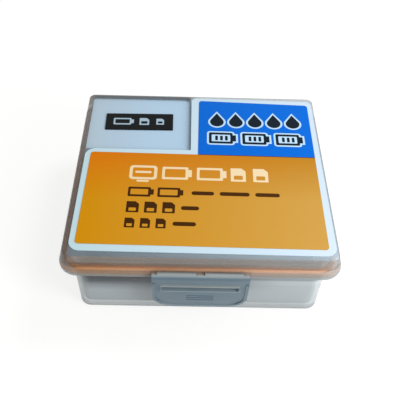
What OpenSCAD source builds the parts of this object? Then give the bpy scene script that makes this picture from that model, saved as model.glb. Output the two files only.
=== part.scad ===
// Hinged, sealed pocket case for two camera batteries and six memory cards.
// The origin is the middle of the flat underside, +X to the right, -Y to the latch, +Z up.

/* [Case] */
// Width across the rim
case_w = 100; // [98:0.5:110]
// Depth across the rim
case_d = 94; // [92:0.5:100]
// Height of the closed case, without the label
case_h = 34; // [33:0.5:38]
// Corner radius of the rim, seen from above
rim_r = 7; // [6:0.5:9]
// Wall thickness of both moulded shells
wall = 1.6; // [1.4:0.1:1.8]
// How far the rim stands out over the tub's wall
overhang = 4.2; // [4.2:0.1:5]
// Corner radius of the tub's outer wall
tub_r = 5; // [4:0.5:6]

/* [Lid] */
// Height from the underside of the rim flange to the lid's top
rim_depth = 8.7; // [8.5:0.1:10]
// Thickness of the base's rim flange
flange_t = 1.4; // [1.3:0.1:2]
// How far the lid's skirt flares out at the front and back, from its top edge to the rim
flare = 2.8; // [2.4:0.1:2.9]
// How far it flares out at the sides
side_flare = 1.8; // [1.6:0.1:2.2]
// Corner radius of the lid's top, seen from above
lid_top_r = 2.4; // [2:0.2:3]
// Depth of the lowered window in the lid's top
window_drop = 1.6; // [1.2:0.1:2]

/* [Seal] */
// Width of the seal ring
seal_w = 1.6; // [1.4:0.1:1.6]
// Height of the seal ring
seal_h = 1.6; // [1.5:0.1:1.8]
// Depth of the groove that the ring sits in
groove_t = 0.7; // [0.6:0.1:0.8]

/* [Latch] */
// Width of the latch flap
latch_w = 34; // [30:1:40]
// Length of the flap below its pivot
latch_len = 19.2; // [18:0.2:21]
// Radius of the flap's lower corners
latch_r = 7.5; // [6:0.5:9]
// Lean of the closed flap towards the tub, in degrees
latch_lean = 8; // [6:0.5:9]
// Thickness of the flap
latch_t = 1.4; // [1.2:0.1:1.6]

/* [Insert] */
// Width of a battery bay
bay_w = 41; // [39:0.5:41]
// Length of a battery bay
bay_l = 58; // [56:0.5:58]
// Height of the insert's walls above the table
insert_top = 15; // [12:0.5:18]

/* [Hidden] */
$fn = 64;

half_w = case_w / 2;
half_d = case_d / 2;
tub_w = half_w - overhang;
tub_d = half_d - overhang;
flange_z = case_h - rim_depth;
seat_z = flange_z + flange_t;
edge_r = 0.7;
floor_t = 1.8;
tub_draft = 0.6;

// Upstand inside the seal ring
lip_out = 0.5;
lip_z = seat_z + 2.4;
seal_z = seat_z - groove_t;
seal_gap = 0.05;

// Rear hinge: two sets of three knuckles
hinge_x = 27;
knuckle_r = 1.6;
hinge_y = half_d + knuckle_r + 0.1;
hinge_z = flange_z + 1;
hinge_pin_r = 0.7;
mid_knuckle = 7.4;
end_knuckle = 4;
knuckle_gap = 0.3;
hinge_span = mid_knuckle + 2 * (knuckle_gap + end_knuckle);
run_gap = 0.05;

// Front latch pivot, and the lid's three lugs that carry its pin
pivot_y = -half_d - 0.9;
pivot_z = seat_z + 0.8;
barrel_r = 1.6;
barrel_clear = 0.2;
latch_pin_r = 0.5;
lug_r = 0.9;
lug_clear = 0.15;
lug_web = 0.9;
lug_w = 1.6;
mid_lug_w = 2.4;
lug_centres = [-latch_w / 2 + lug_w / 2, 0, latch_w / 2 - lug_w / 2];
slot_w = 27;
slot_top = 4.5;
slot_h = 2.6;
bead_w = 1.1;
bead_t = 0.35;
bead_top = 2.6;
frame_w = 0.8;
frame_t = 0.3;
grip_w = 10;
grip_h = 0.6;
grip_t = 0.15;
grip_pitch = 1.5;
grip_y = 13;
catch_w = 25.4;
catch_z = pivot_z - slot_top - slot_h + 0.4;
catch_t = 1.4;

// Lid's skirt, its lowered window and what is stuck on its top
skirt_rise = case_h - seat_z - edge_r;
skirt_lean = [side_flare, flare] / skirt_rise;
skirt_tighten = (rim_r - lid_top_r) / skirt_rise;
top_w = half_w - side_flare;
top_d = half_d - flare;
sheet_t = 0.25;
print_t = 0.1;
label_left = [-46.05, -45.75];
label_right = 47.3;
label_front = [-42.6, -43.2];
label_back = [42.5, 41.6];
label_r = 4;
label_back_r = 2.4;
print_skew = -0.6;
panel_x = [-43.6, 45];
panel_y = [-40, 39.5];
panel_slant = 1.1;
split = [-1.4, 6.7];
panel_r = 1.3;
window_x = [-46.4, -4.4];
window_y = [9.4, 43.05];
window_r = 1.2;
pan_x = [window_x[0] - 1.2, window_x[1] + wall];
pan_y = [window_y[0] - wall, window_y[1] + 0.9];
pan_r = 2;
card_gap = 0.05;
plate_size = [28, 10.1];
plate_centre = [-25.8, 27.7];
plate_skew = 0.8;

// Insert
tray_fit = 0.3;
tray_w = 2 * (tub_w - wall - tub_draft - tray_fit);
tray_d = 2 * (tub_d - wall - tub_draft - tray_fit);
tray_wall = 1.2;
tray_floor_z = floor_t;
rack_z = tray_floor_z + tray_wall;
bay_r = 1.2;
bay_y = [tray_d / 2 - tray_wall - bay_l, tray_d / 2 - tray_wall];
well_y = [-tray_d / 2 + tray_wall, bay_y[0] - tray_wall];
rib_t = 1;
rib_h = 3;
rack_d = well_y[1] - well_y[0] - 0.4;
rack_y = (well_y[0] + well_y[1]) / 2;
card_slots = 3;
large_rack_x = [-41.2, -5.2];
large_rack_top = 18;
small_rack_x = [16, 31.4];
small_rack_top = 13;

plastic = [0.78, 0.82, 0.84, 0.75];

// Points of a quarter round, from angle a0 to a1
function arc(cx, cy, r, a0, a1, steps = 5) =
    [for (i = [0:steps]) let (a = a0 + (a1 - a0) * i / steps)
        [cx + r * cos(a), cy + r * sin(a)]];

// Side outlines are lists of [out, z]: out is measured outwards from the given rounded rectangle.
function shifted(points, dx) = [for (p = points) [p[0] + dx, p[1]]];
function mirrored(points) = [for (i = [len(points) - 1:-1:0]) [-points[i][0], points[i][1]]];

// Solid with a rounded rectangular plan whose sides all follow one outline, lowest point first
module rounded_block(w, d, r, side) {
    low = side[0][1];
    high = side[len(side) - 1][1];
    for (s = [[1, 1, 0], [-1, 1, 90], [-1, -1, 180], [1, -1, 270]])
        translate([s[0] * (w - r), s[1] * (d - r), 0]) rotate([0, 0, s[2]])
            rotate_extrude(angle = 90)
                polygon(concat([[0, low]], shifted(side, r), [[0, high]]));
    rotate([90, 0, 0]) linear_extrude(2 * (d - r), center = true)
        polygon(concat(shifted(side, w), mirrored(shifted(side, w))));
    rotate([90, 0, 90]) linear_extrude(2 * (w - r), center = true)
        polygon(concat(shifted(side, d), mirrored(shifted(side, d))));
}

// Ring of one closed section that runs round a rounded rectangle
module rounded_ring(w, d, r, section) {
    for (s = [[1, 1, 0], [-1, 1, 90], [-1, -1, 180], [1, -1, 270]])
        translate([s[0] * (w - r), s[1] * (d - r), 0]) rotate([0, 0, s[2]])
            rotate_extrude(angle = 90) polygon(shifted(section, r));
    for (turn = [0, 180]) {
        rotate([90, 0, turn]) linear_extrude(2 * (d - r), center = true)
            polygon(shifted(section, w));
        rotate([90, 0, 90 + turn]) linear_extrude(2 * (w - r), center = true)
            polygon(shifted(section, d));
    }
}

// Outline of the lid's skirt at height z, t inside its outer face: [half width, half depth, radius, z]
function skirt(z, t) = let (inset = [t, t] + skirt_lean * (z - seat_z))
    [half_w - inset[0], half_d - inset[1], rim_r - t - skirt_tighten * (z - seat_z), z];

// Block whose corners tighten from one such outline to the next
module tapered_block(outlines) {
    hull() for (o = outlines)
        translate([0, 0, o[3]]) linear_extrude(0.01)
            patch([-o[0], o[0]], [-o[1], o[1]], o[2], $fn = 40);
}

// Flat rounded rectangle between two x and two y values
module patch(x, y, r) {
    translate([x[0] + r, y[0]]) square([x[1] - x[0] - 2 * r, y[1] - y[0]]);
    translate([x[0], y[0] + r]) square([x[1] - x[0], y[1] - y[0] - 2 * r]);
    for (cx = [x[0] + r, x[1] - r], cy = [y[0] + r, y[1] - r])
        translate([cx, cy]) circle(r);
}

// Bar along X
module bar(x, r, y, z) {
    translate([x[0], y, z]) rotate([0, 90, 0]) cylinder(r = r, h = x[1] - x[0]);
}

// Box between two corners
module span(x, y, z) {
    translate([x[0], y[0], z[0]]) cube([x[1] - x[0], y[1] - y[0], z[1] - z[0]]);
}

// Rear knuckle of one half-hinge with its web, which leaves the rim above or below the axis
module knuckle(x, web) {
    bar(x, knuckle_r, hinge_y, hinge_z);
    span(x, [half_d - 1, hinge_y], [hinge_z + web[0], hinge_z + web[1]]);
}

module tub_outside() {
    rounded_block(tub_w, tub_d, tub_r,
        concat(arc(-tub_draft - 1, 1, 1, -90, 0), [[0, flange_z + 0.5]]));
}

module tub_inside() {
    rounded_block(tub_w, tub_d, tub_r,
        [[-wall - tub_draft, floor_t], [-wall, lip_z + 1]]);
}

module base_shell() {
    ends = mid_knuckle / 2 + knuckle_gap;
    color(plastic) difference() {
        union() {
            tub_outside();
            rounded_block(half_w, half_d, rim_r,
                concat(arc(-0.5, flange_z + 0.5, 0.5, -90, 0, 3), [[0, seat_z]]));
            rounded_block(tub_w, tub_d, tub_r,
                [[lip_out, flange_z], [lip_out, lip_z - 0.3], [lip_out - 0.3, lip_z]]);
            for (side = [-1, 1], end = [-1, 1])
                knuckle([side * hinge_x + end * ends + (end - 1) / 2 * end_knuckle,
                    side * hinge_x + end * ends + (end + 1) / 2 * end_knuckle], [-knuckle_r, 0]);
            catch_rail();
        }
        tub_inside();
        rounded_ring(tub_w, tub_d, tub_r,
            [[lip_out, seal_z], [lip_out + seal_w + 0.2, seal_z],
                [lip_out + seal_w + 0.2, seat_z + 1], [lip_out, seat_z + 1]]);
        bar([-latch_w / 2 - 0.4, latch_w / 2 + 0.4], barrel_r + barrel_clear, pivot_y, pivot_z);
        for (side = [-1, 1])
            bar([side * hinge_x - hinge_span / 2 - 1, side * hinge_x + hinge_span / 2 + 1],
                hinge_pin_r, hinge_y, hinge_z);
    }
}

// Rail on the tub's front that the flap's slot hooks under
module catch_rail() {
    tip_y = -half_d - 1.05;
    root_y = -tub_d + 1;
    rotate([90, 0, 90]) linear_extrude(catch_w, center = true)
        polygon([[root_y, catch_z], [tip_y + 0.3, catch_z], [tip_y, catch_z + 0.3],
            [tip_y, catch_z + catch_t - 0.6], [tip_y + 0.6, catch_z + catch_t],
            [root_y, catch_z + catch_t + 1.2]]);
    for (x = [-catch_w / 2, -catch_w / 6, catch_w / 6 - 1.2, catch_w / 2 - 1.2])
        translate([x, 0, 0]) rotate([90, 0, 90]) linear_extrude(1.2)
            polygon([[root_y, catch_z - 4], [-tub_d - 3, catch_z], [root_y, catch_z]]);
}

// Outlines of the lid's rounded top edge, which rises by angle a
function top_edge(a) = let (inset = edge_r * (1 - cos(a)))
    [top_w - inset, top_d - inset, lid_top_r - inset, case_h - edge_r * (1 - sin(a)) - 0.01];

module lid_outside() {
    tapered_block(concat([skirt(seat_z, 0), skirt(case_h - edge_r, 0)], [for (a = [30, 60, 90]) top_edge(a)]));
}

module lid_shell() {
    ledge_z = seal_z + seal_h + seal_gap;
    color(plastic) difference() {
        union() {
            difference() {
                lid_outside();
                tapered_block([skirt(seat_z - 1, wall), skirt(case_h - wall - 0.01, wall)]);
                bar([-latch_w / 2 - 0.4, latch_w / 2 + 0.4], barrel_r + barrel_clear, pivot_y, pivot_z);
            }
            // ledge that presses on the seal ring
            difference() {
                rounded_block(half_w, half_d, rim_r,
                    [[-wall - 0.2, ledge_z], [-wall - 0.6, ledge_z + 1.2]]);
                rounded_block(tub_w, tub_d, tub_r,
                    [[lip_out + 0.35, ledge_z - 1], [lip_out + 0.35, ledge_z + 2]]);
            }
            // pan under the lowered window
            translate([0, 0, case_h - window_drop - wall]) linear_extrude(window_drop + 0.1)
                patch(pan_x, pan_y, pan_r);
            for (side = [-1, 1])
                knuckle([side * hinge_x - mid_knuckle / 2, side * hinge_x + mid_knuckle / 2],
                    [1, knuckle_r]);
            latch_lugs();
        }
        translate([0, 0, case_h - window_drop]) linear_extrude(window_drop + 1)
            patch(window_x, window_y, window_r);
        bar([-latch_w, latch_w], latch_pin_r, pivot_y, pivot_z);
        for (side = [-1, 1])
            bar([side * hinge_x - mid_knuckle, side * hinge_x + mid_knuckle],
                hinge_pin_r + run_gap, hinge_y, hinge_z);
    }
}

function lug_width(i) = i == 1 ? mid_lug_w : lug_w;

// Lugs on the lid's skirt that hold the latch pin
module latch_lugs() {
    for (i = [0:2]) let (x = lug_centres[i], w = lug_width(i)) {
        bar([x - w / 2, x + w / 2], lug_r, pivot_y, pivot_z);
        span([x - w / 2, x + w / 2], [pivot_y, -half_d + wall - 0.2],
            [pivot_z - lug_web / 2, pivot_z + lug_web / 2]);
    }
}

module seal_ring() {
    in = lip_out;
    out = in + seal_w;
    top = seal_z + seal_h;
    color("darkorange") rounded_ring(tub_w, tub_d, tub_r,
        concat([[in, seal_z], [out, seal_z]], arc(out - 0.6, top - 0.6, 0.6, 0, 90, 4),
            arc(in + 0.6, top - 0.6, 0.6, 90, 180, 4)));
}

// Outline of the flap in its own plane: x across, y up from the pivot
module flap_outline(inset, top = 0) {
    w = latch_w - 2 * inset;
    r = latch_r - inset;
    low = -latch_len + inset;
    translate([-w / 2, low + r]) square([w, top - low - r]);
    translate([-w / 2 + r, low]) square([w - 2 * r, r + 1]);
    for (x = [-w / 2 + r, w / 2 - r]) translate([x, low + r]) circle(r);
}

module front_latch() {
    color(plastic) difference() {
        translate([0, pivot_y, pivot_z]) rotate([latch_lean, 0, 0]) difference() {
            union() {
                translate([0, latch_t - barrel_r, 0]) rotate([90, 0, 0])
                    linear_extrude(latch_t) flap_outline(0);
                translate([0, -barrel_r + 0.1, 0]) rotate([90, 0, 0])
                    linear_extrude(bead_t + 0.1) difference() {
                        flap_outline(0, -bead_top);
                        flap_outline(bead_w);
                    }
                span([-slot_w / 2 - frame_w, slot_w / 2 + frame_w], [-barrel_r - frame_t, -barrel_r + 0.1],
                    [-slot_top - slot_h - frame_w, -slot_top + frame_w]);
                // grip ribs below the slot
                for (i = [-1:1])
                    span([-grip_w / 2, grip_w / 2], [-barrel_r - grip_t, -barrel_r + 0.1],
                        [-grip_y + i * grip_pitch - grip_h / 2, -grip_y + i * grip_pitch + grip_h / 2]);
                bar([-latch_w / 2, latch_w / 2], barrel_r, 0, 0);
            }
            span([-slot_w / 2, slot_w / 2], [-barrel_r - 1, latch_t], [-slot_top - slot_h, -slot_top]);
            // the barrel keeps only its front shell at the lugs
            for (i = [0:2]) let (x = lug_centres[i], half = lug_width(i) / 2 + 0.25) {
                bar([x - half, x + half], lug_r + lug_clear, 0, 0);
                translate([x, 0, 0]) rotate([90, 0, 90]) linear_extrude(2 * half, center = true)
                    polygon([[-0.4, 0], [-0.4, 3], [3, 3], [3, -1.1], [0, -0.65]]);
            }
        }
        bar([-latch_w, latch_w], latch_pin_r + run_gap, pivot_y, pivot_z);
    }
}

module latch_pin() {
    color("silver")
        bar([-latch_w / 2 + 0.2, latch_w / 2 - 0.2], latch_pin_r, pivot_y, pivot_z);
}

module hinge_pin(side) {
    color("silver") bar([side * hinge_x - hinge_span / 2 + 0.2,
        side * hinge_x + hinge_span / 2 - 0.2], hinge_pin_r, hinge_y, hinge_z);
}

module hinge_pin_left() {
    hinge_pin(-1);
}

module hinge_pin_right() {
    hinge_pin(1);
}

module battery_tray() {
    color("whitesmoke") {
        difference() {
            translate([0, 0, tray_floor_z]) linear_extrude(insert_top - tray_floor_z)
                patch([-tray_w / 2, tray_w / 2], [-tray_d / 2, tray_d / 2], tub_r - wall - 1);
            translate([0, 0, rack_z]) linear_extrude(insert_top) {
                patch([-bay_w - 0.5, -0.5], bay_y, bay_r);
                patch([0.5, bay_w + 0.5], bay_y, bay_r);
                patch([-bay_w - 0.5, bay_w + 0.5], well_y, bay_r);
            }
        }
        // low ribs that keep the racks in place
        for (x = [large_rack_x[1], small_rack_x[0] - rib_t, small_rack_x[1]])
            span([x, x + rib_t], [well_y[0] - 0.4, well_y[1] + 0.4], [rack_z - 0.2, rack_z + rib_h]);
    }
}

// Rack with slots for upright cards, one behind the other
module rack(x, top, slot_l, slot_t) {
    pitch = rack_d / card_slots;
    slot_floor = rack_z + tray_wall;
    color("whitesmoke") difference() {
        translate([0, 0, rack_z]) linear_extrude(top - rack_z)
            patch(x, [rack_y - rack_d / 2, rack_y + rack_d / 2], 1.5);
        for (i = [-1:1])
            translate([(x[0] + x[1] - slot_l) / 2, rack_y + i * pitch - slot_t / 2, slot_floor])
                cube([slot_l, slot_t, top]);
    }
}

module large_card_rack() {
    rack(large_rack_x, large_rack_top, 32.8, 2.6);
}

module small_card_rack() {
    rack(small_rack_x, small_rack_top, 11.8, 1.6);
}

// Rounded outline through four corners, front left first, then round to the back left
module quad(corners, r) {
    inward = [[1, 1], [-1, 1], [-1, -1], [1, -1]];
    centres = [for (i = [0:3]) corners[i] + r * inward[i]];
    side = [for (i = [0:3]) centres[(i + 1) % 4] - centres[i]];
    out = [for (d = side) r * [d[1], -d[0]] / norm(d)];
    polygon([for (i = [0:3], n = [out[(i + 3) % 4], out[i]]) centres[i] + n]);
    for (c = centres) translate(c) circle(r);
}

// Printed layer, a little askew on its sheet
module print_layer() {
    translate([0, 0, case_h + sheet_t]) rotate([0, 0, print_skew])
        linear_extrude(print_t) children();
}

module label_sheet() {
    left = window_x[1] + 0.2;
    back = window_y[0] - 0.1;
    color("aliceblue") translate([0, 0, case_h]) linear_extrude(sheet_t) {
        quad([[label_left[0], label_front[0]], [label_right, label_front[1]],
            [label_right, back], [label_left[1], back]], label_r);
        quad([[left, -20], [label_right, -20],
            [label_right, label_back[1]], [left, label_back[0]]], label_back_r);
    }
}

module label_orange_panel() {
    color("orange") print_layer() {
        patch(panel_x, [panel_y[0], split[1]], panel_r);
        translate([panel_x[1] - 2 * panel_r, split[1] - 2 * panel_r]) square(2 * panel_r);
    }
}

module label_blue_panel() {
    x = [split[0], panel_x[1]];
    y = [split[1] + 0.02, panel_y[1]];
    color("dodgerblue") print_layer() {
        quad([[x[0], y[0]], [x[1], y[0]], [x[1], y[1]], [x[0], y[1] + panel_slant]], panel_r);
        translate([x[0], y[0]]) square([x[1] - x[0], 2 * panel_r]);
    }
}

module window_card() {
    color("lightsteelblue") translate([0, 0, case_h - window_drop]) linear_extrude(0.2)
        patch([window_x[0] + card_gap, window_x[1] - card_gap],
            [window_y[0] + card_gap, window_y[1] - card_gap], window_r);
}

module name_plate() {
    half = plate_size / 2;
    color("black") translate([plate_centre[0], plate_centre[1], case_h - window_drop + 0.2])
        rotate([0, 0, plate_skew]) linear_extrude(0.4)
            patch([-half[0], half[0]], [-half[1], half[1]], 0.2);
}

base_shell();
lid_shell();
seal_ring();
front_latch();
latch_pin();
hinge_pin_left();
hinge_pin_right();
battery_tray();
large_card_rack();
small_card_rack();
label_sheet();
label_orange_panel();
label_blue_panel();
window_card();
name_plate();
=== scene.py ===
import math

import bpy
from mathutils import Matrix, Vector


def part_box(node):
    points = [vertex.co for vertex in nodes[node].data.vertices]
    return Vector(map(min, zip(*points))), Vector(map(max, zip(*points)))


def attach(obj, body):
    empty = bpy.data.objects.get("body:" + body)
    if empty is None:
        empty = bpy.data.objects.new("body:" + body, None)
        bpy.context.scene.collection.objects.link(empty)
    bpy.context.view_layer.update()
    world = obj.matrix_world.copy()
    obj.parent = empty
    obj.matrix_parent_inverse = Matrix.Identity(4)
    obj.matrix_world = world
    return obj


MM = 0.001
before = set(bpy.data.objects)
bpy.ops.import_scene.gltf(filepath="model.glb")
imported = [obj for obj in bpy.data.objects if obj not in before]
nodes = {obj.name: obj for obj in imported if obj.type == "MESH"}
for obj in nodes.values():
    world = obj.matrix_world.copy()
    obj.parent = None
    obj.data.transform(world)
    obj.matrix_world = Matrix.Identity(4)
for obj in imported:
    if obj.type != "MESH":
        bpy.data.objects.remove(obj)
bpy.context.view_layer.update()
scene = bpy.context.scene

# Lengths below are in mm and colours in sRGB, 0-255, unless a line says otherwise.

# ---------------------------------------------------------------- camera
# Its place, direction and focal length were fitted to edges measured in the photograph.

FRAME_PX = 400
FOCAL_PX = 650
SENSOR = 36
CAMERA_PLACE = (-5.27, -182.22, 209.52)
CAMERA_RIGHT = Vector((0.99959, 0.00145, 0.02854))
CAMERA_UP = Vector((-0.02058, 0.72948, 0.68370))


def add_camera():
    data = bpy.data.cameras.new("camera")
    data.sensor_width = SENSOR
    data.lens = SENSOR * FOCAL_PX / FRAME_PX
    data.clip_start = 0.01
    data.clip_end = 10
    camera = bpy.data.objects.new("camera", data)
    scene.collection.objects.link(camera)
    turn = Matrix((CAMERA_RIGHT, CAMERA_UP, CAMERA_RIGHT.cross(CAMERA_UP))).transposed()
    camera.matrix_world = Matrix.Translation(Vector(CAMERA_PLACE) * MM) @ turn.to_4x4()
    scene.camera = camera


add_camera()

# ---------------------------------------------------------------- how materials are made


def tone(value):
    """Linear RGBA, as the shaders take it, of an sRGB colour or of a plain number, which is a grey."""
    if isinstance(value, float):
        return (value, value, value, 1.0)
    out = []
    for c in value:
        c /= 255
        out.append(c / 12.92 if c <= 0.04045 else ((c + 0.055) / 1.055) ** 2.4)
    return (*out, 1.0)


class Surface:
    """A Principled material with nodes that vary its colour, roughness, cover and relief."""

    def __init__(self, name, **values):
        self.material = bpy.data.materials.new(name)
        self.material.use_nodes = True
        self.tree = self.material.node_tree
        self.tree.nodes.clear()
        self.output = self.new("ShaderNodeOutputMaterial")
        self.shader = self.new("ShaderNodeBsdfPrincipled")
        self.link(self.shader.outputs["BSDF"], self.output.inputs["Surface"])
        self.place = self.new("ShaderNodeTexCoord").outputs["Object"]
        for socket, value in values.items():
            self.shader.inputs[socket.replace("_", " ")].default_value = value

    def new(self, kind, **settings):
        node = self.tree.nodes.new(kind)
        for key, value in settings.items():
            setattr(node, key, value)
        return node

    def link(self, a, b):
        self.tree.links.new(a, b)

    # ---- values that vary over the object

    def noise(self, size, detail=2.0, stretch=(1, 1, 1)):
        """Noise whose features are about that size across."""
        mapping = self.new("ShaderNodeMapping")
        mapping.inputs["Scale"].default_value = stretch
        self.link(self.place, mapping.inputs["Vector"])
        node = self.new("ShaderNodeTexNoise")
        node.inputs["Scale"].default_value = 1 / (size * MM)
        node.inputs["Detail"].default_value = detail
        self.link(mapping.outputs["Vector"], node.inputs["Vector"])
        return node.outputs["Fac"]

    def axis(self, name):
        node = self.new("ShaderNodeSeparateXYZ")
        self.link(self.place, node.inputs["Vector"])
        return node.outputs[name]

    def outward(self, name):
        """Distance from the object's middle along one axis."""
        return self.math("ABSOLUTE", self.axis(name))

    # ---- what is made of them

    def spread(self, value, low, high, start=0.3, end=0.7):
        """Goes from low at start to high at end. The defaults suit noise."""
        node = self.new("ShaderNodeMapRange")
        sockets = ("From Min", "From Max", "To Min", "To Max")
        for socket, number in zip(sockets, (start, end, low, high)):
            node.inputs[socket].default_value = number
        self.link(value, node.inputs["Value"])
        return node.outputs["Result"]

    def after(self, value, zone):
        """0 before a zone and 1 after it. A zone is its start and its end."""
        return self.spread(value, 0, 1, zone[0] * MM, zone[1] * MM)

    def before(self, value, zone):
        """1 before a zone and 0 after it."""
        return self.spread(value, 1, 0, zone[0] * MM, zone[1] * MM)

    def math(self, operation, *values):
        node = self.new("ShaderNodeMath", operation=operation)
        for socket, value in zip(node.inputs, values):
            self.link(value, socket)
        return node.outputs[0]

    def both(self, a, b):
        return self.math("MULTIPLY", a, b)

    def either(self, a, b):
        return self.math("MAXIMUM", a, b)

    def mix(self, factor, a, b):
        node = self.new("ShaderNodeMix", data_type="RGBA")
        self.link(factor, node.inputs["Factor"])
        for socket, value in ((node.inputs[6], a), (node.inputs[7], b)):
            if isinstance(value, (float, tuple)):
                socket.default_value = tone(value)
            else:
                self.link(value, socket)
        return node.outputs[2]

    def bands(self, stops, reach):
        """Changes with height within reach, the lowest and highest. Stops are (height, tone)."""
        low, high = reach
        node = self.new("ShaderNodeValToRGB")
        ramp = node.color_ramp
        while len(ramp.elements) < len(stops):
            ramp.elements.new(0.5)
        for element, (z, value) in zip(ramp.elements, stops):
            element.position = (z - low) / (high - low)
            element.color = tone(value)
        self.link(self.after(self.axis("Z"), reach), node.inputs["Fac"])
        return node.outputs["Color"]

    # ---- what goes to the shader

    def colour(self, value):
        self.link(value, self.shader.inputs["Base Color"])

    def rough(self, value, low, high):
        self.link(self.spread(value, low, high), self.shader.inputs["Roughness"])

    def cover(self, value):
        """How much of the surface covers what is behind it."""
        self.link(value, self.shader.inputs["Alpha"])

    def relief(self, value, height):
        node = self.new("ShaderNodeBump")
        node.inputs["Distance"].default_value = height * MM
        self.link(value, node.inputs["Height"])
        self.link(node.outputs["Normal"], self.shader.inputs["Normal"])


def moulded(name, rough):
    """Clear moulded plastic with a haze in it, which covers only a share of what is behind it."""
    s = Surface(name, IOR=1.46, Coat_Weight=0.25, Coat_Roughness=0.2)
    s.rough(s.noise(5), rough - 0.04, rough + 0.04)
    s.relief(s.noise(3), 0.004)
    return s


def matt(name, drift, dark, pale, grain, rough, **values):
    """Opaque material that drifts between two tones, with a fine grain."""
    s = Surface(name, **values)
    s.colour(s.mix(s.spread(s.noise(drift), 0, 1), dark, pale))
    s.rough(s.noise(grain), *rough)
    s.relief(s.noise(0.5, 3), 0.004)
    return s


def printed(name, rough=0.28, coat=0.0):
    s = Surface(name, Coat_Weight=coat, Coat_Roughness=0.12, Specular_IOR_Level=0.06)
    s.rough(s.noise(3), rough - 0.04, rough + 0.05)
    s.relief(s.noise(2.4), 0.002)
    return s


def ink(name, left, right, zone=(-46, 46)):
    """Print that drifts from one tone to the other across the label; the drift is painted light, paler
    towards the right.
    """
    s = printed(name)
    s.colour(s.mix(s.after(s.axis("X"), zone), left, right))
    return s


# ---------------------------------------------------------------- base

BASE_REACH = (0, 35)
BASE_FRONT_Y = (-41, -38)
BASE_CORNER_X = (-46, -40)
BASE_SHADE_X = (-30, 30)
FOOT, WALL, LIT = (162, 170, 174), (198, 206, 210), (208, 216, 220)
BASE_LOW = [(3.2, FOOT), (4.4, WALL)]
# painted shade: the sides darken towards the rim
BASE_SIDES = BASE_LOW + [(16.0, WALL), (25.3, (172, 180, 184))]
# painted light and shade on the front wall's right: a paler band, then darker just under the rim
BASE_FRONT_PAINTED_LIGHT = BASE_LOW + [(15.4, WALL), (16.8, LIT), (18.4, LIT), (19.2, (160, 167, 171))]
# painted shade under the rim on the front wall's left; the last stop is the flange's own tone
BASE_FRONT_PAINTED_SHADE = BASE_LOW + [
    (11.0, WALL), (14.6, (158, 165, 169)), (17.0, (84, 89, 93)), (24.9, (88, 92, 96)),
    (25.3, (158, 154, 148)),
]


def make_base_plastic():
    """The rim's shade is painted on it: strongest on the front wall's left, softer on the sides, and a
    line on the front wall's right below a painted paler band.
    """
    s = moulded("base_plastic", rough=0.4)
    # the painted shade is strongest at the front wall's left and fades out at the left corner
    shade = s.both(s.after(s.axis("X"), BASE_CORNER_X), s.before(s.axis("X"), BASE_SHADE_X))
    front = s.mix(shade, s.bands(BASE_FRONT_PAINTED_LIGHT, BASE_REACH), s.bands(BASE_FRONT_PAINTED_SHADE, BASE_REACH))
    sides = s.bands(BASE_SIDES, BASE_REACH)
    s.colour(s.mix(s.before(s.axis("Y"), BASE_FRONT_Y), sides, front))
    s.cover(s.spread(s.noise(20, 1), 0.6, 0.64))
    return s


# ---------------------------------------------------------------- lid
# From the bottom up it has a rim, the seal's painted glow, a darker line, the skirt and the top edge.

LID_REACH = (15, 35)


def lid_bands(heights, rim, glow, line, shoulder, skirt, edge):
    """The lid's tones from the bottom up, as stops."""
    return list(zip(heights, (rim, rim, glow, glow, line, shoulder, skirt, skirt, edge)))


# painted shade: the left tones are darker, and the top edge's slate blue is a painted reflection
LID_SHADED_LEFT = lid_bands(
    (25.3, 26.9, 27.5, 28.7, 29.4, 30.6, 31.2, 32.9, 33.4),
    rim=(180, 164, 148), glow=(226, 166, 110), line=(106, 86, 72),
    shoulder=(112, 98, 90), skirt=(166, 154, 144), edge=(107, 120, 129))
# painted light: the right tones are paler, with a painted sheen on the seal's glow and a painted
# reflection on the top edge
LID_LIT_RIGHT = lid_bands(
    (25.3, 27.2, 27.8, 29.1, 29.6, 30.8, 31.2, 32.9, 33.4),
    rim=(190, 182, 172), glow=(250, 218, 198), line=(142, 134, 126),
    shoulder=(148, 146, 143), skirt=(176, 174, 172), edge=(168, 184, 195))
# The share that it covers, which is least in front of the seal ring
LID_COVER = [
    (25.3, 0.42), (27.2, 0.42), (27.8, 0.28), (29.1, 0.28), (29.8, 0.44), (32.9, 0.42), (33.4, 0.72),
]
DENSE = 0.93

# Zones, each the start and the end of a change from one tone to the next. LUGS_X counts outward.
LID_ACROSS = (-45, 50)
FLANK_MIDDLE_Y = (-10, 35)
FLANK_BACK_Y = (35.5, 39.5)
FLANK_X = (-46.3, -46.0)
FLANK_Z = (30.0, 31.2)
REAR_MIDDLE_X = (-6, 0)
REAR_Y = (41.2, 41.6)
REAR_OUTER_Y = (43.4, 43.8)
RIGHT_X = (47.4, 47.8)
RIGHT_Z = (32.6, 33.2)
LUGS_X = (17.2, 17.8)
LUGS_Y = (-47.2, -46.9)
WINDOW_CORNER_X = (-46.2, -45.6)
WINDOW_CORNER_Y = (35.5, 37.5)
WINDOW_REAR_X = (-6, -3)
WINDOW_Z = (31.8, 32.6)


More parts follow.
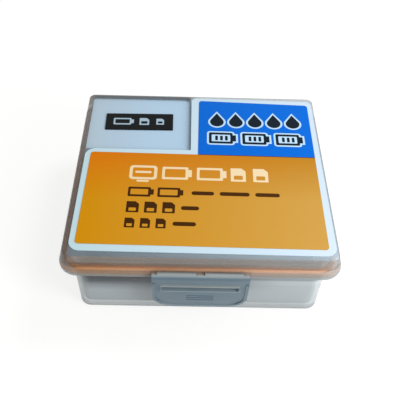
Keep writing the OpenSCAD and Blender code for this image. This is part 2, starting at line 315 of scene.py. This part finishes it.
def lid_colour(s, at_lugs):
    # painted light and shade: darker at the left, paler at the right
    front = s.mix(
        s.after(s.axis("X"), LID_ACROSS), s.bands(LID_SHADED_LEFT, LID_REACH), s.bands(LID_LIT_RIGHT, LID_REACH))
    # painted shade: the top edge's left flank, turned from the light, is dark, browner in the middle and
    # greyer at the back
    shaded_flank = s.mix(s.after(s.axis("Y"), FLANK_MIDDLE_Y), (84, 57, 37), (101, 95, 91))
    shaded_flank = s.mix(s.after(s.axis("Y"), FLANK_BACK_Y), shaded_flank, (104, 100, 98))
    # the back strip is darker at the left, behind the window, where the shade of the window's back wall is
    # painted
    rear = s.mix(s.after(s.axis("X"), REAR_MIDDLE_X), (106, 108, 110), (176, 184, 190))
    # painted shade: the outermost top edge shows as a darker line at the back and the right
    rear = s.mix(s.after(s.axis("Y"), REAR_OUTER_Y), rear, (104, 108, 112))
    at_right = s.both(s.after(s.axis("X"), RIGHT_X), s.after(s.axis("Z"), RIGHT_Z))
    at_left = s.both(s.before(s.axis("X"), FLANK_X), s.after(s.axis("Z"), FLANK_Z))
    result = s.mix(s.after(s.axis("Y"), REAR_Y), front, rear)
    result = s.mix(at_right, result, (116, 122, 126))
    result = s.mix(at_left, result, shaded_flank)
    return s.mix(at_lugs, result, (150, 152, 148))


def lid_cover(s, at_lugs):
    """Nothing solid lies below the top edge round the window's back, so it is denser there."""
    corner = s.both(s.before(s.axis("X"), WINDOW_CORNER_X), s.after(s.axis("Y"), WINDOW_CORNER_Y))
    rear = s.both(s.before(s.axis("X"), WINDOW_REAR_X), s.after(s.axis("Y"), REAR_Y))
    round_window = s.both(s.either(corner, rear), s.after(s.axis("Z"), WINDOW_Z))
    return s.mix(s.either(round_window, at_lugs), s.bands(LID_COVER, LID_REACH), DENSE)


def make_lid_plastic():
    s = moulded("lid_plastic", rough=0.3)
    at_lugs = s.both(s.before(s.axis("Y"), LUGS_Y), s.before(s.outward("X"), LUGS_X))
    s.colour(lid_colour(s, at_lugs))
    s.cover(lid_cover(s, at_lugs))
    return s


# ---------------------------------------------------------------- latch

LATCH_REACH = (5, 30)
BODY, PALE_HIGHLIGHT, EDGE_HIGHLIGHT = (96, 120, 134), (156, 164, 165), (132, 150, 160)
# painted highlights along the lower edge and on top of the barrel
LATCH_LOW, LATCH_HIGH = [(9.4, EDGE_HIGHLIGHT), (10.4, BODY)], [(28.3, BODY), (28.9, PALE_HIGHLIGHT)]
# painted highlights below and above the slot
SLOT_FRAME = [
    (19.2, BODY), (19.7, EDGE_HIGHLIGHT), (20.5, EDGE_HIGHLIGHT), (20.9, BODY),
    (22.8, BODY), (23.0, PALE_HIGHLIGHT), (23.8, PALE_HIGHLIGHT), (24.3, BODY),
]
SLOT_X = (13.6, 14.6)
BARREL_Y = (-48.0, -47.6)
BARREL_Z = (27.7, 28.1)


def make_latch_plastic():
    """Painted highlights make its lower edge, the frame of its slot and the top of its barrel paler."""
    s = moulded("latch_plastic", rough=0.34)
    plain = s.bands(LATCH_LOW + LATCH_HIGH, LATCH_REACH)
    framed = s.bands(LATCH_LOW + SLOT_FRAME + LATCH_HIGH, LATCH_REACH)
    flap = s.mix(s.before(s.outward("X"), SLOT_X), plain, framed)
    barrel = s.both(s.after(s.axis("Y"), BARREL_Y), s.after(s.axis("Z"), BARREL_Z))
    s.colour(s.mix(barrel, flap, (134, 135, 131)))
    s.cover(s.spread(s.noise(20, 1), 0.72, 0.76))
    return s


# ---------------------------------------------------------------- pins and label


def make_pin_steel():
    """Drawn steel, with marks that run along the pin."""
    s = Surface("pin_steel", Metallic=1.0)
    along = (0.04, 1, 1)
    s.colour(s.mix(s.spread(s.noise(0.2, stretch=along), 0, 1), (168, 168, 170), (200, 200, 203)))
    s.rough(s.noise(0.2, stretch=along), 0.22, 0.38)
    return s


ORANGE_X = (-40, 40)
ORANGE_Y = (6, -18)


def make_label_orange():
    """Redder at the back, and paler towards the front right, where a sheen is painted."""
    s = printed("label_orange")
    back = s.mix(s.after(s.axis("X"), ORANGE_X), (208, 114, 0), (184, 124, 26))
    front = s.mix(s.after(s.axis("X"), ORANGE_X), (201, 136, 4), (195, 148, 66))
    s.colour(s.mix(s.after(s.axis("Y"), ORANGE_Y), back, front))
    return s


def make_plate_black():
    s = printed("plate_black", rough=0.2, coat=0.1)
    s.colour(s.mix(s.spread(s.noise(2), 0, 1), (3, 5, 7), (8, 10, 13)))
    return s


base_plastic = make_base_plastic()
lid_plastic = make_lid_plastic()
latch_plastic = make_latch_plastic()
insert_plastic = matt(
    "insert_plastic", drift=12, dark=(120, 122, 122), pale=(132, 134, 133), grain=3, rough=(0.45, 0.58))
seal_silicone = matt(
    "seal_silicone", drift=6, dark=(255, 172, 104), pale=(255, 180, 114), grain=2, rough=(0.45, 0.6),
    Specular_IOR_Level=0.35)
pin_steel = make_pin_steel()
# these prints are paler towards the right, which is painted light
label_pale = ink("label_pale", (185, 210, 217), (200, 216, 230))
label_orange = make_label_orange()
label_blue = ink("label_blue", (0, 98, 200), (0, 102, 208), (0, 44))
ink_black = ink("ink_black", (8, 22, 34), (14, 28, 40))
ink_halo = ink("ink_halo", (178, 210, 234), (186, 216, 240))
ink_cream = ink("ink_cream", (228, 203, 160), (232, 210, 172))
ink_brown = ink("ink_brown", (54, 26, 0), (74, 42, 2))
ink_silver = ink("ink_silver", (152, 173, 188), (166, 188, 203))
window_pale = ink("window_pale", (173, 191, 203), (171, 196, 216), (-46, -20))
plate_black = make_plate_black()

for node, surface in {
    "base_shell": base_plastic,
    "lid_shell": lid_plastic,
    "seal_ring": seal_silicone,
    "front_latch": latch_plastic,
    "latch_pin": pin_steel,
    "hinge_pin_left": pin_steel,
    "hinge_pin_right": pin_steel,
    "battery_tray": insert_plastic,
    "large_card_rack": insert_plastic,
    "small_card_rack": insert_plastic,
    "label_sheet": label_pale,
    "label_orange_panel": label_orange,
    "label_blue_panel": label_blue,
    "window_card": window_pale,
    "name_plate": plate_black,
}.items():
    mesh = nodes[node].data
    mesh.materials.clear()
    mesh.materials.append(surface.material)

# ---------------------------------------------------------------- finish of the CAD pieces

SHARP_ANGLE = 35
LATCH_EDGE, INSERT_EDGE = 0.22, 0.25
GAP = 0.02


def soften(node, width):
    """Rounds the moulded piece's sharp edges a little."""
    bevel = nodes[node].modifiers.new("soft_edges", "BEVEL")
    bevel.width = width * MM
    bevel.segments = 2
    bevel.limit_method = "ANGLE"
    bevel.angle_limit = math.radians(SHARP_ANGLE)


def stand_clear(node):
    """Draws the piece's skin in a hair, so faces that touch a translucent piece don't coincide with it."""
    skin = nodes[node].modifiers.new("clear_of_neighbours", "DISPLACE")
    skin.direction = "NORMAL"
    skin.mid_level = 0
    skin.strength = -GAP * MM


for piece in (
    "label_sheet", "window_card", "battery_tray", "seal_ring",
    "latch_pin", "hinge_pin_left", "hinge_pin_right",
):
    stand_clear(piece)
soften("front_latch", LATCH_EDGE)
for piece in ("battery_tray", "large_card_rack", "small_card_rack"):
    soften(piece, INSERT_EDGE)

# ---------------------------------------------------------------- outlines of the printed signs
# The label and the plate carry plain signs: drops, batteries and cards.
# An outline is a list of (x, y), counter-clockwise.

PRINT = 0.03
PANEL_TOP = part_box("label_orange_panel")[1][2] / MM
PLATE_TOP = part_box("name_plate")[1][2] / MM
LABEL_TURN = math.radians(-0.6)
PLATE_TURN = math.radians(0.8)
PLATE_CENTRE = (-25.8, 27.7)

DROP_RADIUS = 0.34  # share of its height
DROP_TIP_GROW = 1.6  # how far the pointed tip moves for an offset of 1
BATTERY_CORNER = 0.5
CONTACT_LENGTH, CONTACT_STEP = 0.12, 0.22  # shares of the battery's width and height
CARD_CUT = 0.28  # share of its width


def bend(cx, cy, r, a0, a1, steps=6):
    """Arc from one angle to another, in degrees."""
    angles = [math.radians(a0 + (a1 - a0) * i / steps) for i in range(steps + 1)]
    return [(cx + r * math.cos(a), cy + r * math.sin(a)) for a in angles]


def pill(x, y, w, h, r):
    """Rounded rectangle about its centre."""
    w, h = w / 2 - r, h / 2 - r
    return (
        bend(x + w, y + h, r, 0, 90) + bend(x - w, y + h, r, 90, 180)
        + bend(x - w, y - h, r, 180, 270) + bend(x + w, y - h, r, 270, 360)
    )


def drop(x, y, h, grow=0.0):
    """Water drop of height h about its centre, with an offset of grow all round."""
    r = DROP_RADIUS * h
    cy = y - h / 2 + r
    tip = y + h / 2 + grow * DROP_TIP_GROW
    side = math.degrees(math.acos(r / (tip - cy)))
    return [(x, tip)] + bend(x, cy, r + grow, 90 + side, 450 - side, 20)


def battery(x, y, w, h, grow=0.0):
    """Battery lying on its side, with its contact end to the right."""
    left, right = x - w / 2 - grow, x + w / 2 + grow
    low, high = y - h / 2 - grow, y + h / 2 + grow
    body = right - CONTACT_LENGTH * w
    step = CONTACT_STEP * h
    r = BATTERY_CORNER + grow
    return (
        bend(left + r, low + r, r, 180, 270, 4) + bend(body - r, low + r, r, 270, 360, 4)
        + [(body, low + step), (right, low + step), (right, high - step), (body, high - step)]
        + bend(body - r, high - r, r, 0, 90, 4) + bend(left + r, high - r, r, 90, 180, 4)
    )


def card(x, y, w, h):
    """Memory card with one cut corner."""
    left, right = x - w / 2, x + w / 2
    low, high = y - h / 2, y + h / 2
    cut = CARD_CUT * w
    return [(left, low), (right, low), (right, high - cut), (right - cut, high), (left, high)]


def windowed(outline, x, y, size, window, shift):
    """A sign with a rounded window cut out of it."""
    return [outline(x, y, *size), pill(x + shift[0], y + shift[1], *window)[::-1]]


def print_on(name, surface, shapes, level, turn=LABEL_TURN, centre=(0, 0)):
    """Thin print of closed shapes, each a list of outlines: the first outer, the others holes."""
    curve = bpy.data.curves.new(name, "CURVE")
    curve.dimensions = "2D"
    curve.fill_mode = "BOTH"
    curve.extrude = PRINT / 2 * MM
    for shape in shapes:
        for outline in shape:
            spline = curve.splines.new("POLY")
            spline.points.add(len(outline) - 1)
            for point, (x, y) in zip(spline.points, outline):
                point.co = (x * MM, y * MM, 0, 1)
            spline.use_cyclic_u = True
    temp = bpy.data.objects.new(name + "_curve", curve)
    scene.collection.objects.link(temp)
    mesh = bpy.data.meshes.new_from_object(temp.evaluated_get(bpy.context.evaluated_depsgraph_get()))
    bpy.data.objects.remove(temp)
    mesh.name = name
    mesh.materials.clear()
    mesh.materials.append(surface.material)
    obj = bpy.data.objects.new(name, mesh)
    scene.collection.objects.link(obj)
    place = Vector((centre[0], centre[1], level + PRINT / 2)) * MM
    obj.matrix_world = Matrix.Translation(place) @ Matrix.Rotation(turn, 4, "Z")
    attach(obj, "lid")


# ---------------------------------------------------------------- the printed signs

# A sign's width and height, its window's width, height and corner radius, and the window's shift
# from the middle. The case's own corner radius follows its width and height.
CASE = (10.6, 7.6, 1.5), (8.2, 5.2, 0.7), (0, 0)
BLUE_CELL = (11, 6.6), (7.6, 4.2, 0.4), (-0.6, 0)
TITLE_CELL = (11.4, 6.8), (7.9, 4.5, 0.5), (-0.7, 0)
TITLE_CARD = (5.8, 7.2), (3.4, 2.2, 0.3), (0, -1.5)
LINE_CELL = (9.6, 4.9), (6.6, 2.9, 0.3), (-0.6, 0)
LARGE_CARD = (4.6, 5.4), (2.7, 1.6, 0.3), (0, -1.2)
SMALL_CARD = (3.6, 4.6), (2.0, 1.3, 0.2), (0, -1.0)
PLATE_CELL = (8.4, 4.2), (6.0, 2.6, 0.3), (-0.5, 0)
PLATE_LARGE_CARD = (4.0, 4.4), (2.6, 1.6, 0.2), (0, -0.6)
PLATE_SMALL_CARD = (3.2, 3.8), (1.9, 1.3, 0.2), (0, -0.5)


def print_blue_signs():
    """A row of drops over a row of batteries, black with a pale rim."""
    drop_xs, drop_y, drop_h = (6.2, 14.1, 22.0, 29.9, 37.8), 28.3, 8.4
    cell_xs, cell_y = (8.4, 22.0, 35.6), 16.9
    bar_from, bar_pitch, bar = -2.4, 2.0, (1.1, 2.8, 0.3)
    rim = 0.8
    print_on("blue_signs_rim", ink_halo,
        [[drop(x, drop_y, drop_h, rim)] for x in drop_xs]
        + [[battery(x, cell_y, *BLUE_CELL[0], rim)] for x in cell_xs],
        PANEL_TOP)
    print_on("blue_signs", ink_black,
        [[drop(x, drop_y, drop_h)] for x in drop_xs]
        + [windowed(battery, x, cell_y, *BLUE_CELL) for x in cell_xs]
        + [[pill(x + bar_from + bar_pitch * i, cell_y, *bar)] for x in cell_xs for i in range(3)],
        PANEL_TOP + PRINT)


def print_orange_signs():
    """A row of the case, batteries and cards in cream, then what the case holds in brown."""
    title_y, case_x = -4.2, -22.2
    handle_y, handle = -4.0, (6.2, 1.2, 0.4)
    foot_y, foot = -8.8, (4.6, 1.0, 0.4)
    title = [windowed(pill, case_x, title_y, *CASE)]
    title += [[pill(case_x, handle_y, *handle)], [pill(case_x, foot_y, *foot)]]
    title += [windowed(battery, x, title_y, *TITLE_CELL) for x in (-9.3, 4.0)]
    title += [windowed(card, x, title_y, *TITLE_CARD) for x in (14.2, 22.8)]
    print_on("title_signs", ink_cream, title, PANEL_TOP)

    cells_y, large_y, small_y = -14.5, -22.2, -29.9
    rows = [windowed(battery, x, cells_y, *LINE_CELL) for x in (-22.4, -11.4)]
    rows += [windowed(card, x, large_y, *LARGE_CARD) for x in (-24.9, -18.3, -11.7)]
    rows += [windowed(card, x, small_y, *SMALL_CARD) for x in (-25.4, -19.8, -14.2)]
    bar_h, bar_r = 1.9, 0.9
    rows += [[pill(x, y, w, bar_h, bar_r)] for x, y, w in (
        (0.7, cells_y, 8.4), (12.6, cells_y, 11.2), (24.9, cells_y, 9.2),
        (-3.9, large_y, 6.6), (-5.8, small_y, 8.4))]
    print_on("contents_signs", ink_brown, rows, PANEL_TOP)

    line_x, line_y, line = 21.8, 6.7, (46, 0.3, 0.1)
    print_on("panel_line", ink_brown, [[pill(line_x, line_y, *line)]], PANEL_TOP)


def print_plate_signs():
    """A battery and two cards in silver."""
    signs = [windowed(battery, -6.6, 0, *PLATE_CELL)]
    signs += [windowed(card, 2.0, 0, *PLATE_LARGE_CARD)]
    signs += [windowed(card, 8.6, 0, *PLATE_SMALL_CARD)]
    print_on("plate_signs", ink_silver, signs, PLATE_TOP, PLATE_TURN, PLATE_CENTRE)


print_blue_signs()
print_orange_signs()
print_plate_signs()

# ---------------------------------------------------------------- floor, backdrop and light

FLOOR_HALF = 1.5  # metres
# the colours here are linear RGBA
FLOOR_LIT = (0.8, 0.8, 0.78, 1)
FLOOR_SHADOW_SHARE = 0.25
FLOOR_GLOW, FLOOR_GLOW_COLOUR = 0.79, (1.0, 1.0, 0.985, 1)
WORLD_LIGHT, WORLD_LIGHT_COLOUR = 0.5, (0.96, 0.98, 1.0, 1)
WORLD_SHOWN, WORLD_SHOWN_COLOUR = 1.0, (0.98, 0.985, 0.97, 1)


def white_when_seen(tree, output, lit, shown):
    """Uses shown for rays from the camera, and for those that gloss and glass send on, else lit."""
    path = tree.nodes.new("ShaderNodeLightPath")
    seen = path.outputs["Is Camera Ray"]
    for ray in ("Is Glossy Ray", "Is Transmission Ray"):
        add = tree.nodes.new("ShaderNodeMath")
        add.operation = "ADD"
        add.use_clamp = True
        tree.links.new(seen, add.inputs[0])
        tree.links.new(path.outputs[ray], add.inputs[1])
        seen = add.outputs[0]
    pick = tree.nodes.new("ShaderNodeMixShader")
    for source, socket in zip((seen, lit.outputs[0], shown.outputs[0]), pick.inputs):
        tree.links.new(source, socket)
    tree.links.new(pick.outputs[0], output.inputs["Surface"])


def emitter(tree, kind, colour, strength):
    """Node that gives off light, of a material or of the world. The colour is linear RGBA."""
    node = tree.nodes.new(kind)
    node.inputs["Color"].default_value = colour
    node.inputs["Strength"].default_value = strength
    return node


def cleared_tree(owner):
    owner.use_nodes = True
    owner.node_tree.nodes.clear()
    return owner.node_tree


def make_floor_paint():
    """Lit as a plain pale surface, and seen near white, with its shadows kept."""
    material = bpy.data.materials.new("floor_paint")
    tree = cleared_tree(material)
    output = tree.nodes.new("ShaderNodeOutputMaterial")
    lit = tree.nodes.new("ShaderNodeBsdfDiffuse")
    lit.inputs["Color"].default_value = FLOOR_LIT
    faint = tree.nodes.new("ShaderNodeBsdfDiffuse")
    faint.inputs["Color"].default_value = tone(FLOOR_SHADOW_SHARE)
    glow = emitter(tree, "ShaderNodeEmission", FLOOR_GLOW_COLOUR, FLOOR_GLOW)
    shown = tree.nodes.new("ShaderNodeAddShader")
    tree.links.new(faint.outputs[0], shown.inputs[0])
    tree.links.new(glow.outputs[0], shown.inputs[1])
    white_when_seen(tree, output, lit, shown)
    return material


def add_floor():
    corners = [(x * FLOOR_HALF, y * FLOOR_HALF, 0) for x, y in ((-1, -1), (1, -1), (1, 1), (-1, 1))]
    mesh = bpy.data.meshes.new("floor")
    mesh.from_pydata(corners, [], [(0, 1, 2, 3)])
    mesh.materials.append(make_floor_paint())
    floor = bpy.data.objects.new("floor", mesh)
    scene.collection.objects.link(floor)


def add_world():
    world = bpy.data.worlds.new("world")
    scene.world = world
    tree = cleared_tree(world)
    output = tree.nodes.new("ShaderNodeOutputWorld")
    light = emitter(tree, "ShaderNodeBackground", WORLD_LIGHT_COLOUR, WORLD_LIGHT)
    shown = emitter(tree, "ShaderNodeBackground", WORLD_SHOWN_COLOUR, WORLD_SHOWN)
    white_when_seen(tree, output, light, shown)


def add_lamp(name, place, target, side, watts):
    """Square area lamp that faces its target. Places and sizes are in metres."""
    data = bpy.data.lights.new(name, "AREA")
    data.shape = "RECTANGLE"
    data.size = data.size_y = side
    data.energy = watts
    lamp = bpy.data.objects.new(name, data)
    scene.collection.objects.link(lamp)
    lamp.location = place
    lamp.rotation_euler = (Vector(target) - Vector(place)).to_track_quat("-Z", "Y").to_euler()


add_floor()
add_world()
add_lamp("key", place=(0.36, 0.30, 0.62), target=(0, 0, 0.02), side=0.28, watts=2.6)
add_lamp("side", place=(0.26, -0.20, 0.20), target=(0, -0.02, 0.02), side=0.16, watts=0.95)

scene.view_settings.view_transform = "Standard"
